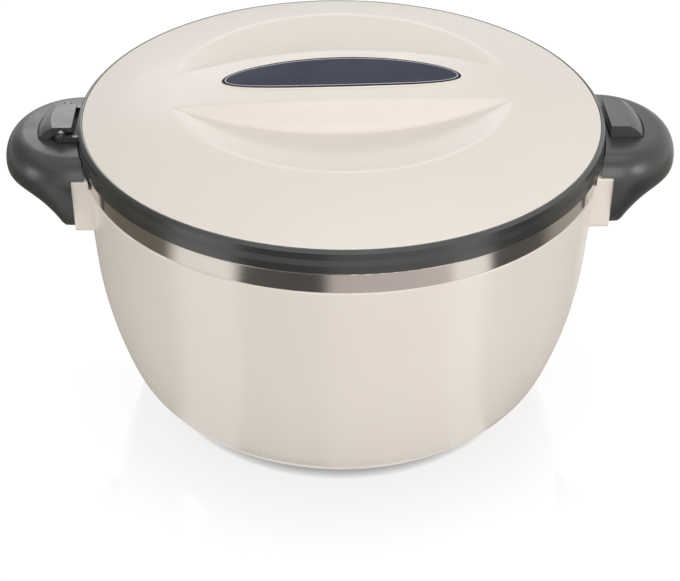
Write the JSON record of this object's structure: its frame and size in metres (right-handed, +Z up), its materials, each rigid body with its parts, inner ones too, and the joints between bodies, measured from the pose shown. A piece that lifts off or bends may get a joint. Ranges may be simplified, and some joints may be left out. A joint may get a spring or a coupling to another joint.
{
  "type": "insulated serving pot",
  "caption": "Round insulated serving pot with a cream shell, steel food pan, ear handles and a domed lid that hinges on one handle and snaps shut on the other, released by a press button",
  "frame": {"origin": "centre of the footprint, on the surface that the foot ring stands on", "axes": "+Z up; +X through the two handles, from the hinge side on the left to the latch button on the right; -Y faces the viewer"},
  "size_m": [0.3618, 0.2812, 0.193],
  "materials": {
    "outer_shell": "satin warm cream plastic",
    "inner_pan": "polished stainless steel",
    "body_foam": "rigid insulating foam",
    "base_cap": "matt cream plastic",
    "foot_ring": "dark grey soft rubber",
    "base_screws": "zinc plated steel",
    "left_handle": "satin charcoal grey plastic",
    "right_handle": "satin charcoal grey plastic",
    "handle_screws": "zinc plated steel",
    "hinge_block": "satin charcoal grey plastic",
    "hinge_screws": "zinc plated steel",
    "hinge_pin": "bright stainless steel",
    "latch_button": "satin charcoal grey plastic",
    "latch_spring": "spring steel wire",
    "latch_screw": "zinc plated steel",
    "lid_shell": "satin warm cream plastic",
    "lid_ring": "satin charcoal grey plastic",
    "lid_liner": "polished stainless steel",
    "lid_foam": "rigid insulating foam",
    "lid_gasket": "translucent white silicone",
    "nameplate": "blue-grey enamel with a fine pale border line, bare of any mark",
    "latch_tongue": "satin charcoal grey plastic"
  },
  "bodies": {
    "pot": {"outer_shell": "outer_shell", "inner_pan": "inner_pan", "body_foam": "body_foam", "base_cap": "base_cap", "foot_ring": "foot_ring", "base_screws": "base_screws", "left_handle": "left_handle", "right_handle": "right_handle", "handle_screws": "handle_screws", "hinge_block": "hinge_block", "hinge_screws": "hinge_screws", "latch_spring": "latch_spring"},
    "lid": {"lid_shell": "lid_shell", "lid_ring": "lid_ring", "lid_liner": "lid_liner", "lid_foam": "lid_foam", "lid_gasket": "lid_gasket", "nameplate": "nameplate", "latch_tongue": "latch_tongue", "hinge_pin": "hinge_pin"},
    "button": {"latch_button": "latch_button", "latch_screw": "latch_screw"}
  },
  "joints": [
    {"name": "lid_hinge", "type": "hinge", "parent": "pot", "child": "lid", "pos_m": [-0.1485, 0, 0.1634], "axis": [0, -1, 0], "range_deg": [0, 95], "deforming": ["latch_tongue"]},
    {"name": "button_press", "type": "slide", "parent": "pot", "child": "button", "axis": [0, 0, -1], "range_m": [0, 0.0025], "stiffness_N_per_m": 500, "springref_m": -0.002, "deforming": ["latch_spring"]}
  ]
}
